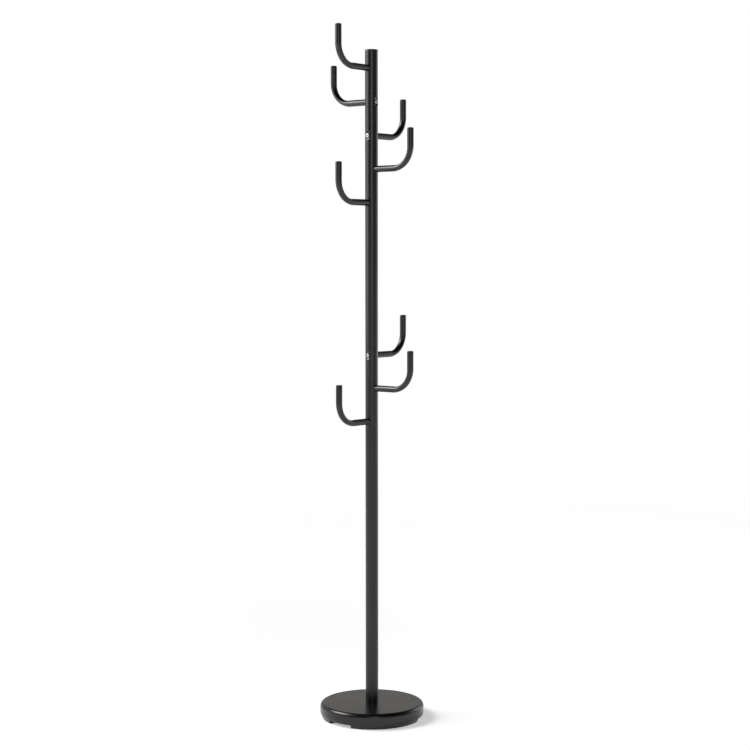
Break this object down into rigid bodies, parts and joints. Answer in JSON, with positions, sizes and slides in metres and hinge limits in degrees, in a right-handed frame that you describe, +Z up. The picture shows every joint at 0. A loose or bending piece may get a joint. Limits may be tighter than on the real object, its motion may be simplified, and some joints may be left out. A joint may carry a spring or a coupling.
{
  "type": "standing coat rack",
  "caption": "Free-standing coat rack: round weighted base with notched skirt, straight round two-piece post and J-shaped tube hooks stepping round it in two groups.",
  "frame": {"origin": "centre of the underside, on the floor plane and on the axis of the post", "axes": "+Z up along the post; +X, -X, +Y and -Y are the directions the hooks point in; the top hook points along -Y"},
  "size_m": [0.264, 0.264, 1.7264],
  "materials": {
    "coat": "satin black powder coat, fine orange peel",
    "cover": "satin black moulding, fine grain",
    "underside": "matte black moulding",
    "filling": "rough cast mortar",
    "pad": "matte black",
    "cap": "satin black moulding",
    "zinc": "zinc plated",
    "screw": "bright zinc plated"
  },
  "bodies": {
    "root": {"base_cover": "cover", "base_weight": "filling", "base_plate": "underside", "foot_pad_1": "pad", "foot_pad_2": "pad", "foot_pad_3": "pad", "base_bolt": "zinc", "base_washer": "zinc", "base_spring_washer": "zinc", "post_foot_plug": "zinc", "lower_tube": "coat", "joint_stud": "zinc", "joint_socket": "zinc", "upper_tube": "coat", "top_cap": "cap", "hook_1": "coat", "hook_2": "coat", "hook_3": "coat", "hook_4": "coat", "hook_5": "coat", "hook_6": "coat", "hook_7": "coat", "hook_8": "coat", "hook_tip_1": "cap", "hook_tip_2": "cap", "hook_tip_3": "cap", "hook_tip_4": "cap", "hook_tip_5": "cap", "hook_tip_6": "cap", "hook_tip_7": "cap", "hook_tip_8": "cap", "hook_insert_1": "zinc", "hook_insert_2": "zinc", "hook_insert_3": "zinc", "hook_insert_4": "zinc", "hook_insert_5": "zinc", "hook_insert_6": "zinc", "hook_insert_7": "zinc", "hook_insert_8": "zinc", "hook_screw_1": "screw", "hook_screw_2": "screw", "hook_screw_3": "screw", "hook_screw_4": "screw", "hook_screw_5": "screw", "hook_screw_6": "screw", "hook_screw_7": "screw", "hook_screw_8": "screw"}
  },
  "joints": []
}
